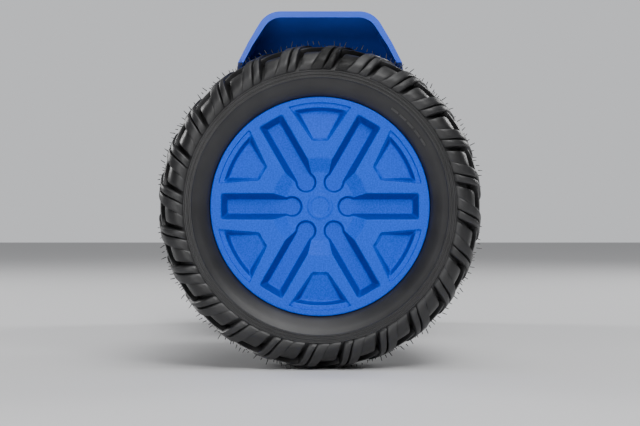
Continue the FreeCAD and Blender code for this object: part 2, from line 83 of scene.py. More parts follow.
class HoverboardCover(bpy.types.PropertyGroup):
    slot_depth: bpy.props.FloatProperty(name="Slot depth", description="Depth of the six slots", default=0.0080,
                                        unit="LENGTH")
    bowl_depth: bpy.props.FloatProperty(name="Bowl depth", description="Depth of the hub bowl", default=0.0052,
                                        unit="LENGTH")
    pocket_depth: bpy.props.FloatProperty(name="Pocket depth", default=0.0060, unit="LENGTH",
                                          description="Depth of the pockets at their outer side")
    colour: bpy.props.FloatVectorProperty(name="Blue", description="Blue moulded plastic", subtype="COLOR",
                                          size=3, default=(0.004, 0.078, 0.68))


class HoverboardPad(bpy.types.PropertyGroup):
    rib_pitch: bpy.props.FloatProperty(name="Rib pitch", description="Distance between grip ribs",
                                       default=0.0085, unit="LENGTH")
    rib_height: bpy.props.FloatProperty(name="Rib height", description="Height of the grip ribs",
                                        default=0.0014, unit="LENGTH")


# ------------------------------------------------------------------ materials
def material(name, colour, roughness, metallic=0.0, **sockets):
    """A principled material; returns it with its node tree and shader."""
    made = bpy.data.materials.new(name)
    made.use_nodes = True
    shader = made.node_tree.nodes["Principled BSDF"]
    shader.inputs["Base Color"].default_value = (*colour, 1.0)
    shader.inputs["Roughness"].default_value = roughness
    shader.inputs["Metallic"].default_value = metallic
    for socket, value in sockets.items():
        shader.inputs[socket.replace("_", " ")].default_value = value
    return made


def pattern(made, kind, scale, stretch=(1, 1, 1), **settings):
    """A procedural texture on the object's own coordinates."""
    nodes, links = made.node_tree.nodes, made.node_tree.links
    place = nodes.new("ShaderNodeTexCoord")
    turn = nodes.new("ShaderNodeMapping")
    turn.inputs["Scale"].default_value = stretch
    links.new(place.outputs["Object"], turn.inputs["Vector"])
    texture = nodes.new("ShaderNodeTex" + kind)
    links.new(turn.outputs["Vector"], texture.inputs["Vector"])
    texture.inputs["Scale"].default_value = scale
    for socket, value in settings.items():
        texture.inputs[socket.replace("_", " ")].default_value = value
    return texture.outputs["Fac" if kind in ("Noise", "Wave") else "Distance"]


def relief(made, heights):
    """Bumps one after another: (source, depth in metres, strength)."""
    nodes, links = made.node_tree.nodes, made.node_tree.links
    shader = nodes["Principled BSDF"]
    before = None
    for source, depth, strength in heights:
        bump = nodes.new("ShaderNodeBump")
        bump.inputs["Distance"].default_value = depth
        bump.inputs["Strength"].default_value = strength
        links.new(source, bump.inputs["Height"])
        if before:
            links.new(before.outputs["Normal"], bump.inputs["Normal"])
        before = bump
    links.new(before.outputs["Normal"], shader.inputs["Normal"])


def tint(made, source, dark, light, low=0.3, high=0.7):
    """Colour that varies between two tones with a pattern."""
    nodes, links = made.node_tree.nodes, made.node_tree.links
    ramp = nodes.new("ShaderNodeValToRGB")
    ramp.color_ramp.elements[0].position, ramp.color_ramp.elements[1].position = low, high
    ramp.color_ramp.elements[0].color = (*dark, 1)
    ramp.color_ramp.elements[1].color = (*light, 1)
    links.new(source, ramp.inputs["Fac"])
    links.new(ramp.outputs["Color"], nodes["Principled BSDF"].inputs["Base Color"])


def worn(made, source, low, high):
    """Roughness that varies with a pattern."""
    nodes, links = made.node_tree.nodes, made.node_tree.links
    span = nodes.new("ShaderNodeMapRange")
    span.inputs["To Min"].default_value, span.inputs["To Max"].default_value = low, high
    links.new(source, span.inputs["Value"])
    links.new(span.outputs["Result"], nodes["Principled BSDF"].inputs["Roughness"])


# sockets of a Mix node that mixes colours
MIX_FACTOR, MIX_FIRST, MIX_SECOND, MIX_RESULT = 0, 6, 7, 2


def paint_shade(made, attribute, dark):
    """Paints shade: darkens the colour where an attribute of the mesh is high."""
    nodes, links = made.node_tree.nodes, made.node_tree.links
    base = nodes["Principled BSDF"].inputs["Base Color"]
    where = nodes.new("ShaderNodeAttribute")
    where.attribute_name = attribute
    mix = nodes.new("ShaderNodeMix")
    mix.data_type, mix.blend_type = "RGBA", "MULTIPLY"
    links.new(where.outputs["Fac"], mix.inputs[MIX_FACTOR])
    links.new(base.links[0].from_socket, mix.inputs[MIX_FIRST])
    mix.inputs[MIX_SECOND].default_value = (*dark, 1)
    links.new(mix.outputs[MIX_RESULT], base)


def scaled(colour, factor):
    """A colour made darker or lighter."""
    return tuple(min(1.0, part * factor) for part in colour)


def tyre_rubber(colour):
    """Matt moulded rubber, with painted shade that darkens the valleys of the tread."""
    made = material("tyre_rubber", colour, 0.45, Specular_IOR_Level=0.5)
    tint(made, pattern(made, "Noise", 60, Detail=4.0), scaled(colour, 0.75), scaled(colour, 1.3))
    # painted shade: the tread's valleys darkened by a mesh attribute
    paint_shade(made, "painted_valley_shade", (0.3, 0.3, 0.3))
    worn(made, pattern(made, "Noise", 25, Detail=3.0), 0.32, 0.55)
    relief(made, [(pattern(made, "Noise", 900, Detail=3.0), 0.00006, 0.5)])
    return made


def blue_grain(colour):
    """Blue plastic with a fine satin grain and painted shade that darkens its steep walls."""
    made = material("blue_satin_grain", colour, 0.5, Specular_IOR_Level=0.15)
    tint(made, pattern(made, "Noise", 1100, Detail=2.0), scaled(colour, 0.86), scaled(colour, 1.16), 0.35, 0.65)
    # painted shade: steep sides of slots, pockets and bowl darkened by a mesh attribute
    paint_shade(made, "painted_wall_shade", (0.3, 0.42, 0.5))
    relief(made, [(pattern(made, "Noise", 700, Detail=3.0), 0.00012, 0.55)])
    return made


def blue_gloss_painted_light(colour):
    """The same blue, glossy, with painted light: made paler to stand in for light on the hood."""
    # painted light: the cover's blue lifted paler so the hood looks lit
    pale = tuple(part + 0.02 for part in scaled(colour, 1.15))
    made = material("blue_gloss_painted_light", pale, 0.3, Coat_Weight=0.25, Coat_Roughness=0.15)
    tint(made, pattern(made, "Noise", 14, Detail=2.0), scaled(pale, 0.94), scaled(pale, 1.06))
    relief(made, [(pattern(made, "Noise", 260, Detail=2.0), 0.00003, 0.25)])
    return made


def grained(name, colour, roughness, scale=900.0, depth=0.0001, strength=0.5, **sockets):
    """Moulded plastic or rubber with a fine leather-like grain."""
    made = material(name, colour, roughness, **sockets)
    tint(made, pattern(made, "Noise", 18, Detail=4.0), scaled(colour, 0.86), scaled(colour, 1.12))
    worn(made, pattern(made, "Noise", 30, Detail=4.0), roughness * 0.88, min(1.0, roughness * 1.12))
    relief(made, [(pattern(made, "Voronoi", scale, Randomness=1.0), depth, strength)])
    return made


def metal(name, colour, roughness, stretch=(1, 1, 1), scale=400.0):
    """Metal with fine marks that run along the stretched direction."""
    made = material(name, colour, roughness, 1.0)
    marks = pattern(made, "Noise", scale, stretch, Detail=4.0)
    worn(made, marks, roughness * 0.75, min(1.0, roughness * 1.3))
    tint(made, pattern(made, "Noise", 25, Detail=3.0), scaled(colour, 0.88), scaled(colour, 1.08))
    relief(made, [(marks, 0.00004, 0.35)])
    return made


def layered(name, dark, light, roughness, metallic, scale, stretch):
    """Sheets or wires laid side by side."""
    made = material(name, light, roughness, metallic)
    lines = pattern(made, "Wave", scale, stretch, Distortion=0.3, Detail=1.0)
    tint(made, lines, dark, light, 0.15, 0.6)
    relief(made, [(lines, 0.0002, 0.6)])
    return made


def clear(name, colour, roughness, transmission):
    """Clear plastic with fine optical ribs."""
    made = material(name, colour, roughness, Transmission_Weight=transmission, IOR=1.49)
    relief(made, [(pattern(made, "Wave", 180, (1, 0, 0), Detail=0.0), 0.0001, 0.3)])
    return made


def slot_materials(blue, rubber):
    """The finish of each material slot."""
    return {
        "tyre": tyre_rubber(rubber),
        "blue_cover": blue_grain(blue),
        "blue_hood": blue_gloss_painted_light(blue),
        "black_shell": grained("black_shell", (0.016, 0.016, 0.018), 0.46, 750),
        "pad_rubber": grained("pad_rubber", (0.024, 0.024, 0.026), 0.72, 1200),
        "cast_alloy": metal("cast_alloy", (0.42, 0.43, 0.45), 0.5, scale=500),
        "frame_alloy": metal("frame_alloy", (0.5, 0.51, 0.53), 0.48, scale=350),
        "magnet": metal("magnet_nickel", (0.6, 0.58, 0.55), 0.22),
        "screw_steel": metal("screw_steel", (0.22, 0.22, 0.23), 0.35, (1, 1, 6)),
        "bearing_steel": metal("bearing_steel", (0.62, 0.62, 0.64), 0.2, (6, 1, 1)),
        "axle_steel": metal("axle_steel", (0.5, 0.5, 0.52), 0.28, (8, 1, 1)),
        "clamp_steel": metal("clamp_steel", (0.4, 0.4, 0.42), 0.34, (1, 6, 1)),
        "tube_steel": metal("tube_steel", (0.5, 0.5, 0.52), 0.26, (8, 1, 1)),
        "clip_steel": metal("clip_steel", (0.12, 0.12, 0.13), 0.4),
        "lamination": layered("lamination", (0.08, 0.08, 0.085), (0.28, 0.28, 0.3), 0.4, 1.0, 320, (1, 0, 0)),
        "winding": layered("winding", (0.22, 0.06, 0.02), (0.75, 0.28, 0.12), 0.3, 0.9, 260, (0, 1, 1)),
        "bush_plastic": grained("bush_plastic", (0.62, 0.6, 0.53), 0.42, 500, 0.00003),
        "circuit": grained("circuit_board", (0.012, 0.11, 0.045), 0.32, 260, 0.00008),
        "lamp_clear": clear("lamp_clear", (0.93, 0.95, 0.97), 0.08, 0.92),
        "smoke_window": clear("smoke_window", (0.02, 0.02, 0.024), 0.1, 0.25),
        "cable_jacket": grained("cable_jacket", (0.02, 0.02, 0.02), 0.55, 400, 0.00004),
        "battery_wrap": grained("battery_wrap", (0.02, 0.09, 0.28), 0.3, 90, 0.0003, 0.3),
        "speaker_black": grained("speaker_black", (0.02, 0.02, 0.02), 0.6, 1600),
        "button_plastic": grained("button_plastic", (0.25, 0.26, 0.28), 0.34, 1400, 0.00004),
        "port_plastic": grained("port_plastic", (0.03, 0.03, 0.032), 0.5, 1200),
    }


# ------------------------------------------------------------------ mesh tools
def to_piece(bm, name, body, made, sharp=35.0):
    """Turns a bmesh into a finished piece that rides on a body."""
    mesh = bpy.data.meshes.new(name)
    bm.to_mesh(mesh)
    bm.free()
    mesh.shade_smooth()
    mesh.set_sharp_from_angle(angle=radians(sharp))
    mesh.materials.append(made)
    piece = bpy.data.objects.new(name, mesh)
    bpy.context.scene.collection.objects.link(piece)
    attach(piece, body)
    return piece


def chain(bm, points, closed=False):
    """Vertices joined by edges, as the start of a spin: (x, radius) in millimetres."""
    verts = [bm.verts.new((x / 1000, 0, radius / 1000)) for x, radius in points]
    pairs = list(zip(verts, verts[1:])) + ([(verts[-1], verts[0])] if closed else [])
    return verts + [bm.edges.new(pair) for pair in pairs]


def spin(bm, geometry, steps, duplicate=False):
    """A full turn about the axle."""
    return bmesh.ops.spin(bm, geom=geometry, cent=(0, 0, 0), axis=(1, 0, 0), angle=tau, steps=steps,
                          use_merge=not duplicate, use_duplicate=duplicate)


def along(points, share, rounding=0.04):
    """The point that far along a line of (x, radius) points, rounded a little at its corners."""
    spots = np.array(points, float)
    reach = np.concatenate([[0], np.cumsum(np.linalg.norm(np.diff(spots, axis=0), axis=1))])
    before, here, after = (
        np.array([np.interp(np.clip(share + step, 0, 1) * reach[-1], reach, spots[:, k]) for k in (0, 1)])
        for step in (-rounding, 0.0, rounding))
    return here * 0.5 + (before + after) * 0.25


def join(bm, part):
    """Adds a finished bmesh to another one and frees it."""
    spare = bpy.data.meshes.new("spare")
    part.to_mesh(spare)
    part.free()
    bm.from_mesh(spare)
    bpy.data.meshes.remove(spare)


def placed(bm, side):
    """Moves a right wheel's bmesh to its wheel; the left one is its mirror image."""
    if side < 0:
        bmesh.ops.scale(bm, vec=(-1, 1, 1), verts=bm.verts)
    bmesh.ops.translate(bm, vec=(side * WHEEL.x, WHEEL.y, WHEEL.z), verts=bm.verts)
    bmesh.ops.recalc_face_normals(bm, faces=bm.faces)


# ------------------------------------------------------------------ tyres
# outlines of the right half of a tyre from its middle: (x, radius) in millimetres
SIDEWALL = [(33.2, 67.5), (35.9, 67.45), (36.8, 67.7), (38.9, 69.6), (41.0, 72.4), (42.7, 75.4), (43.6, 78.2)]
RINGS = [(dx, radius + dr) for radius in (78.8, 80.8, 82.8)
         for dx, dr in ((43.7, -0.45), (44.45, -0.2), (44.45, 0.35), (43.7, 0.6))]
VALLEY = [(43.2, 84.2), (41.4, 86.2), (38.8, 88.6), (35.6, 90.8), (31.0, 92.6), (24.0, 93.8), (11.4, 94.2)]
CROWN = [(10.2, 95.4), (9.4, 99.2), (8.6, 99.6), (0.0, 99.8)]
LUG_LINE = [(44.2, 83.9), (45.0, 86.4), (44.6, 90.4), (42.2, 94.6), (38.0, 97.6), (31.0, 99.2), (20.0, 99.8),
            (11.4, 99.9)]
BORE = [(-28.8, 63.0), (28.8, 63.0)]
TYRE_STEPS = 288
# tops and foot of the tread for the painted shade in its valleys, and how far below the tops that shade starts
# and grows, in millimetres
CROWN_TOP, LUG_FOOT, LUG_FOOT_FADE = 99.9, 84.6, 2.0
VALLEY_FROM, VALLEY_SPAN = 0.6, 3.0

# tread blocks: widths at foot and top, offsets and narrowing in degrees
LUG_WIDTHS, CROWN_WIDTHS, CROWN_OFFSET, RAMP_NARROWING = (8.6, 5.8), (1.2, 7.4), 7.6, 3.4
# where each kind starts and ends on LUG_LINE, as shares of its length
LUG_SPAN, SPLIT_SPAN, RAMP_SPAN, CROWN_SPAN = (0.0, 1.0), (0.02, 0.97), (0.03, 0.85), (0.46, 0.99)
# millimetres below LUG_LINE at the foot, and how many more at the top
RAMP_SINK, CROWN_SINK = (0.9, 4.9), (1.5, -0.6)
# where the slot splits a lug, how fast a block tapers, and how it bends along its way up
LUG_SPLIT, TAPER, BEND, BEND_POWER = 0.1, 2.2, 1.9, 0.8
# blocks reach past the lug height into the carcass; their edges are in metres, drop and lean are shares
ROOT_FACTOR, BLOCK_EDGE, WALL_DROP, WALL_LEAN, SHOULDER_X = 1.4, 0.0007, 0.85, 0.55, 0.036

# vent spews, in metres; each stands in the tread up to its root
SPEW_COUNT, SPEW_SPREAD, SPEW_ROOT, SPEW_SHORTEST = 380, 0.034, 0.0007, 0.0008
SPEW_FOOT, SPEW_TIP = 0.00036, 0.00020
BOX_MARGIN, ROOT_MARGIN = 0.0002, 0.0004

# plain bars moulded on the sidewall, in metres and degrees
BAR_COUNT, BAR_FIRST, BAR_STEP = 5, -58, 5
BAR_SIZE, BAR_PLACE = (0.0008, 0.0052, 0.0014), (0.0424, 0, 0.0740)


def block(bm, line, first, last, early, late, thickness, rows=10, columns=3, sink=lambda share: 0.0):
    """One tread block: its skin follows line from share first to last, between the angles early and late.

    The skin lies below the line by sink; its walls run down into the carcass."""
    skin = bmesh.ops.create_grid(bm, x_segments=rows, y_segments=columns, size=1.0)["verts"]
    for vert in skin:
        share, across = (vert.co.x + 1) / 2, (vert.co.y + 1) / 2
        x, radius = along(line, first + (last - first) * share)
        angle = early(share) + (late(share) - early(share)) * across
        radius -= sink(share)
        vert.co = (x / 1000, radius * sin(angle) / 1000, radius * cos(angle) / 1000)
    faces = list(dict.fromkeys(face for vert in skin for face in vert.link_faces))
    bmesh.ops.recalc_face_normals(bm, faces=faces)
    middle = faces[len(faces) // 2]
    centre = middle.calc_center_median()
    if middle.normal.dot(Vector((centre.x * 0.3, centre.y, centre.z))) < 0:
        bmesh.ops.reverse_faces(bm, faces=faces)
    rim = [edge for edge in dict.fromkeys(e for f in faces for e in f.edges) if len(edge.link_faces) == 1]
    walls = bmesh.ops.extrude_edge_only(bm, edges=rim)["geom"]
    feet = [item for item in walls if isinstance(item, bmesh.types.BMVert)]
    for vert in feet:
        around = Vector((0, vert.co.y, vert.co.z)).normalized()
        lean = WALL_LEAN * min(1.0, vert.co.x / SHOULDER_X) ** 3
        inward = Vector((-lean, 0, 0)) - around * WALL_DROP
        vert.co += inward.normalized() * thickness
    bmesh.ops.bevel(bm, geom=rim, offset=BLOCK_EDGE, offset_type="OFFSET", segments=2, profile=0.5,
                    affect="EDGES", material=-1, clamp_overlap=True)


def tread(bm, settings):
    """One pitch of one shoulder: a split lug, the ramp up to the next lug and a small crown block."""
    pitch = tau / settings.lug_count
    slot, groove = radians(settings.slot_angle), radians(settings.groove_angle)

    def edge(at, base_width, top_width, offset=0.0):
        """One long side of a block, as its angle along the way from foot to top."""
        def angle(share):
            width = base_width + (top_width - base_width) * min(1.0, share * TAPER)
            return radians(offset + width * at) + settings.slant * BEND * share ** BEND_POWER
        return angle

    early, split, late = (edge(at, *LUG_WIDTHS) for at in (-0.5, LUG_SPLIT, 0.5))
    crown_early, crown_late = (edge(at, *CROWN_WIDTHS, CROWN_OFFSET) for at in (-0.5, 0.5))
    height = settings.lug_height * ROOT_FACTOR
    ramp_end = RAMP_SPAN[1]
    block(bm, LUG_LINE, *LUG_SPAN, early, lambda s: split(s) - slot / 2, height)
    block(bm, LUG_LINE, *SPLIT_SPAN, lambda s: split(s) + slot / 2, late, height, columns=2)
    # the ramp from this lug's groove to the next lug, almost flush at the sidewall and sunk at the crown
    block(bm, LUG_LINE, *RAMP_SPAN, lambda s: late(ramp_end * s) + groove,
          lambda s: early(ramp_end * s) + pitch - radians(RAMP_NARROWING) * s ** 3, height,
          sink=lambda s: RAMP_SINK[0] + RAMP_SINK[1] * s)
    block(bm, LUG_LINE, *CROWN_SPAN, crown_early, crown_late, height, rows=6, columns=2,
          sink=lambda s: CROWN_SINK[0] + CROWN_SINK[1] * s)
    return pitch


def whiskers(bm, settings, side):
    """Vent spews on the tread, kept inside the object's box at the sides and the floor."""
    for number in range(SPEW_COUNT):
        angle = tau * (number + 0.42 * sin(number * 12.9)) / SPEW_COUNT
        x = SPEW_SPREAD * sin(number * 78.2)
        reach = RADIUS / max(abs(cos(angle)), -sin(angle), 0.5) - BOX_MARGIN
        length = min(settings.spew_length * (0.75 + 0.25 * sin(number * 4.7)), reach - RADIUS + ROOT_MARGIN)
        if length < SPEW_SHORTEST:
            continue
        lean = 0.35 * sin(number * 31.7)
        made = bmesh.ops.create_cone(bm, cap_ends=True, segments=5, radius1=SPEW_FOOT, radius2=SPEW_TIP,
                                     depth=length)["verts"]
        turned = (Matrix.Rotation(angle - tau / 4, 4, "X") @ Matrix.Translation((x, 0, RADIUS - SPEW_ROOT))
                  @ Matrix.Rotation(lean * side, 4, "X") @ Matrix.Translation((0, 0, length / 2)))
        bmesh.ops.transform(bm, matrix=turned, verts=made)


def valley_depth(piece, side):
    """How far down in the tread each vertex lies, from 0 on top of a block to 1; nothing on the sidewall. It
    masks the painted shade in the valleys.
    """
    spots = np.empty(len(piece.data.vertices) * 3)
    piece.data.vertices.foreach_get("co", spots)
    x, y, z = spots.reshape(-1, 3).T * 1000
    radius = np.hypot(y - WHEEL.y * 1000, z - WHEEL.z * 1000)
    top = np.interp(np.abs(x - side * WHEEL.x * 1000), *zip(*sorted(LUG_LINE[2:] + [(0.0, CROWN_TOP)])))
    below = np.clip((top - radius - VALLEY_FROM) / VALLEY_SPAN, 0, 1)
    return below * np.clip((radius - LUG_FOOT) / LUG_FOOT_FADE, 0, 1)


class HOVERBOARD_OT_tyres(bpy.types.Operator):
    """Block tread tyres with split lugs, sidewall rings and vent spews"""
    bl_idname = "hoverboard.tyres"
    bl_label = "Tyres"

    def execute(self, context):
        settings = context.scene.hoverboard_tyre
        outer = SIDEWALL + RINGS + VALLEY + CROWN
        inner = [(-x, radius) for x, radius in reversed(outer[:-1])]
        for name, side in SIDES.items():
            bm = bmesh.new()
            spin(bm, chain(bm, outer + inner + BORE, closed=True), TYRE_STEPS)
            for shoulder in (1, -1):
                half = bmesh.new()
                pitch = tread(half, settings)
                spin(half, half.verts[:] + half.edges[:] + half.faces[:], settings.lug_count, duplicate=True)
                if shoulder < 0:
                    bmesh.ops.scale(half, vec=(-1, 1, 1), verts=half.verts)
                    bmesh.ops.rotate(half, cent=(0, 0, 0), matrix=Matrix.Rotation(pitch / 2, 3, "X"),
                                     verts=half.verts)
                join(bm, half)
            for number in range(BAR_COUNT):
                bar = bmesh.ops.create_cube(bm, size=1.0)["verts"]
                bmesh.ops.scale(bm, vec=BAR_SIZE, verts=bar)
                turn = Matrix.Rotation(radians(BAR_FIRST + BAR_STEP * number), 4, "X")
                bmesh.ops.transform(bm, matrix=turn @ Matrix.Translation(BAR_PLACE), verts=bar)
            whiskers(bm, settings, side)
            placed(bm, side)
            made = bpy.data.materials["tyre_rubber"]
            piece = to_piece(bm, "tyre_tread_" + name, "wheel_" + name, made, sharp=38)
            # painted shade in the tread valleys, kept as a mesh attribute
            painted_valley_shade = piece.data.attributes.new("painted_valley_shade", "FLOAT", "POINT")
            painted_valley_shade.data.foreach_set("value", valley_depth(piece, side))
            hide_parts("tyre_" + name)
        return {"FINISHED"}


# ------------------------------------------------------------------ wheel covers
# radii, places and depths in millimetres: u runs out along the middle of a slot or pocket, v across it
FACE_RADIUS, COVER_RADIUS, EDGE_ROUND = 66.3, 67.2, 0.9
SKIRT_RADIUS, FLANGE, SKIRT = 60.2, 3.7, 12.6
COVER_RINGS, COVER_STEPS = 132, 640
BOWL_RADIUS, BOWL_SLOPE = 29.8, 8.5
SLOT_HALF, SLOT_END, SLOT_DRAFT = 4.3, 56.8, 3.8
WELL_PLACE, WELL_RADIUS, WELL_SLOPE = 17.2, 5.2, 2.3
POCKET_FOOT, POCKET_HALF, POCKET_END, LEDGE_END = 40.4, 4.8, 61.6, 63.7
POCKET_SIDE_U, POCKET_SIDE_V = -0.5686, 0.8226    # direction square to a pocket's flank
POCKET_SHALLOW, POCKET_FALL_FROM, POCKET_FALL_RUN, POCKET_SLOPE = 2.2, 41.0, 15.5, 1.9
POCKET_ZONE, LEDGE_DEPTH, LEDGE_SLOPE = 20, 1.5, 5.0
RING_RADIUS, RING_HALF, RING_HEIGHT = 6.7, 1.1, 0.8
OUTSIDE, FAR = -9, 99.0    # a depth and a distance that never show
# painted shade on steep faces: a face starts to take it once its normal's share along the axle falls below
# this, fully after the span
WALL_FROM, WALL_SPAN = 0.82, 0.35


def blend_max(a, b, soft):
    """The larger of two values, with a rounded crease."""
    share = np.clip(0.5 + 0.5 * (a - b) / soft, 0, 1)
    return b * (1 - share) + a * share + soft * share * (1 - share)


def blend_min(a, b, soft):
    """The smaller of two values, with a rounded crease."""
    return -blend_max(-a, -b, soft)


def cover_depth(y, z, settings):
    """How far the front of the cover lies below its rim face; all in millimetres."""
    slot, bowl, pocket = (1000 * value for value in (settings.slot_depth, settings.bowl_depth,
                                                     settings.pocket_depth))
    radius = np.hypot(y, z)
    depth = blend_min(blend_max(bowl * (BOWL_RADIUS - radius) / BOWL_SLOPE, 0.0, 0.35), bowl, 0.35)
    for turn in range(6):
        for angle, cut in ((tau * turn / 6, "slot"), (tau * (turn + 0.5) / 6, "pocket")):
            u, v = y * cos(angle) + z * sin(angle), np.abs(z * cos(angle) - y * sin(angle))
            if cut == "slot":
                away = np.where(u > WELL_PLACE, blend_max(v - SLOT_HALF, u - SLOT_END, 1.4), FAR)
                trough = blend_min(slot - slot / SLOT_DRAFT * away, slot, 0.6)
                well = blend_min(slot - WELL_SLOPE * (np.hypot(u - WELL_PLACE, v) - WELL_RADIUS), slot, 0.4)
                depth = blend_max(depth, np.maximum(np.maximum(trough, well), OUTSIDE), 0.4)
            else:
                side = (u - POCKET_FOOT) * POCKET_SIDE_U + (v - POCKET_HALF) * POCKET_SIDE_V
                ends = np.maximum(side, POCKET_FOOT - u)
                inside = -blend_max(ends, radius - POCKET_END, 0.5)
                ledge = -np.maximum(ends, radius - LEDGE_END)
                fall = np.clip((u - POCKET_FALL_FROM) / POCKET_FALL_RUN, 0, 1)
                bed = blend_min(POCKET_SHALLOW + (pocket - POCKET_SHALLOW) * fall, POCKET_SLOPE * inside, 0.6)
                step = blend_min(LEDGE_DEPTH, LEDGE_SLOPE * ledge, 0.3)
                sunk = blend_max(depth, np.maximum(np.maximum(bed, step), OUTSIDE), 0.3)
                depth = np.where(u > POCKET_ZONE, sunk, depth)
    return depth - RING_HEIGHT * np.clip(1 - (np.abs(radius - RING_RADIUS) / RING_HALF) ** 4, 0, 1)


class HOVERBOARD_OT_covers(bpy.types.Operator):
    """Blue wheel covers with six drafted slots, six pockets and a sunk hub"""
    bl_idname = "hoverboard.covers"
    bl_label = "Wheel covers"

    def execute(self, context):
        settings = context.scene.hoverboard_cover
        face = (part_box("wheel_cover_right")[1].x - WHEEL.x) * 1000
        for name, side in SIDES.items():
            bm = bmesh.new()
            rings = [(face, FACE_RADIUS * k / COVER_RINGS) for k in range(COVER_RINGS + 1)]
            edge = [(face - EDGE_ROUND + EDGE_ROUND * cos(a), FACE_RADIUS + EDGE_ROUND * sin(a))
                    for a in (tau / 16, tau / 8, tau * 3 / 16)]
            back = [(face - EDGE_ROUND, COVER_RADIUS), (face - FLANGE, COVER_RADIUS),
                    (face - FLANGE, SKIRT_RADIUS), (face - SKIRT, SKIRT_RADIUS), (face - SKIRT, 0.0)]
            spin(bm, chain(bm, rings + edge + back), COVER_STEPS)
            bmesh.ops.remove_doubles(bm, verts=bm.verts, dist=1e-7)
            placed(bm, 1)
            mesh = bpy.data.meshes.new("cover_face")
            bm.to_mesh(mesh)
            spots = np.empty(len(mesh.vertices) * 3)
            mesh.vertices.foreach_get("co", spots)
            spots = spots.reshape(-1, 3)
            front = spots[:, 0] > WHEEL.x + face / 1000 - 1e-6
            y, z = (spots[front, 1] - WHEEL.y) * 1000, (spots[front, 2] - WHEEL.z) * 1000
            spots[front, 0] -= cover_depth(y, z, settings) / 1000
            mesh.vertices.foreach_set("co", spots.ravel())
            bm.free()
            bm = bmesh.new()
            bm.from_mesh(mesh)
            bpy.data.meshes.remove(mesh)
            if side < 0:
                bmesh.ops.scale(bm, vec=(-1, 1, 1), verts=bm.verts)
                bmesh.ops.reverse_faces(bm, faces=bm.faces)
            made = bpy.data.materials["blue_satin_grain"]
            piece = to_piece(bm, "cover_face_" + name, "wheel_" + name, made, sharp=60)
            # painted shade on the steep faces, kept as a mesh attribute
            normals = np.empty(len(piece.data.vertices) * 3)
            piece.data.vertices.foreach_get("normal", normals)
            steep = np.clip((WALL_FROM - np.abs(normals[::3])) / WALL_SPAN, 0, 1)
            piece.data.attributes.new("painted_wall_shade", "FLOAT", "POINT").data.foreach_set("value", steep)
            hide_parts("wheel_cover_" + name)
        return {"FINISHED"}


# ------------------------------------------------------------------ foot pads
# all in metres
PAD_THICK, PAD_CORNER, PAD_EDGE, PAD_BORDER = 0.007, 0.0136, 0.0008, 0.011
RIB_HALF, RIB_CORNER, RIB_EDGE, RIB_ROOT = 0.0021, 0.00205, 0.0006, 0.001
END_INSET, RIB_GAP = 0.006, 0.002
STUD_INSET, STUD_RADIUS = 0.028, 0.004


def rounded_slab(bm, low, high, corner, edge, corner_steps=6):
    """A flat block with rounded upright corners and softened top edges."""
    made = bmesh.ops.create_cube(bm, size=1.0)["verts"]
    size = Vector(high) - Vector(low)
    bmesh.ops.scale(bm, vec=size, verts=made)
    bmesh.ops.translate(bm, vec=(Vector(low) + Vector(high)) / 2, verts=made)
    edges = dict.fromkeys(e for v in made for e in v.link_edges)
    upright = [e for e in edges if abs(e.verts[0].co.z - e.verts[1].co.z) > size.z * 0.9]
    bmesh.ops.bevel(bm, geom=upright, offset=corner, offset_type="OFFSET", segments=corner_steps,
                    profile=0.5, affect="EDGES", material=-1)
    top = [e for e in bm.edges if all(abs(v.co.z - high[2]) < 1e-7 for v in e.verts)
           and len(e.link_faces) == 2 and any(abs(f.normal.z) < 0.5 for f in e.link_faces)]
    bmesh.ops.bevel(bm, geom=top, offset=edge, offset_type="OFFSET", segments=2, profile=0.5,
                    affect="EDGES", material=-1)


class HOVERBOARD_OT_foot_pads(bpy.types.Operator):
    """Rubber foot pads with rows of grip ribs inside a plain border"""
    bl_idname = "hoverboard.foot_pads"
    bl_label = "Foot pads"

    def execute(self, context):
        settings = context.scene.hoverboard_pad
        for name in SIDES:
            low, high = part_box("foot_pad_" + name)
            top, under, rib = high.z, high.z - PAD_THICK, settings.rib_height
            bm = bmesh.new()
            rounded_slab(bm, (low.x, low.y, under), (high.x, high.y, top - rib), PAD_CORNER, PAD_EDGE)
            bm.normal_update()
            rows = int((high.y - low.y - 2 * PAD_BORDER) / settings.rib_pitch)
            start = (low.y + high.y - (rows - 1) * settings.rib_pitch) / 2
            for row in range(rows):
                y = start + row * settings.rib_pitch
                inset = PAD_BORDER + (END_INSET if row in (0, rows - 1) else 0.0)
                spans = [(low.x + inset, high.x - inset)]
                if row % 2:
                    third = (high.x - low.x - 2 * PAD_BORDER) / 3
                    spans = [(low.x + PAD_BORDER + third * k + RIB_GAP,
                              low.x + PAD_BORDER + third * (k + 1) - RIB_GAP) for k in range(3)]
                for near, far in spans:
                    bar = bmesh.new()
                    rounded_slab(bar, (near, y - RIB_HALF, top - rib - RIB_ROOT), (far, y + RIB_HALF, top),
                                 RIB_CORNER, RIB_EDGE, 3)
                    join(bm, bar)
            for x in (low.x + STUD_INSET, high.x - STUD_INSET):
                stud = bmesh.ops.create_cone(bm, cap_ends=True, segments=24, radius1=STUD_RADIUS,
                                             radius2=STUD_RADIUS, depth=under - low.z)["verts"]
                bmesh.ops.translate(bm, vec=(x, 0, (under + low.z) / 2), verts=stud)
            bmesh.ops.recalc_face_normals(bm, faces=bm.faces)
            made = bpy.data.materials["pad_rubber"]
            piece = to_piece(bm, "foot_pad_ribs_" + name, "foot_pad_" + name, made, sharp=40)
            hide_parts("foot_pad_" + name)
        return {"FINISHED"}


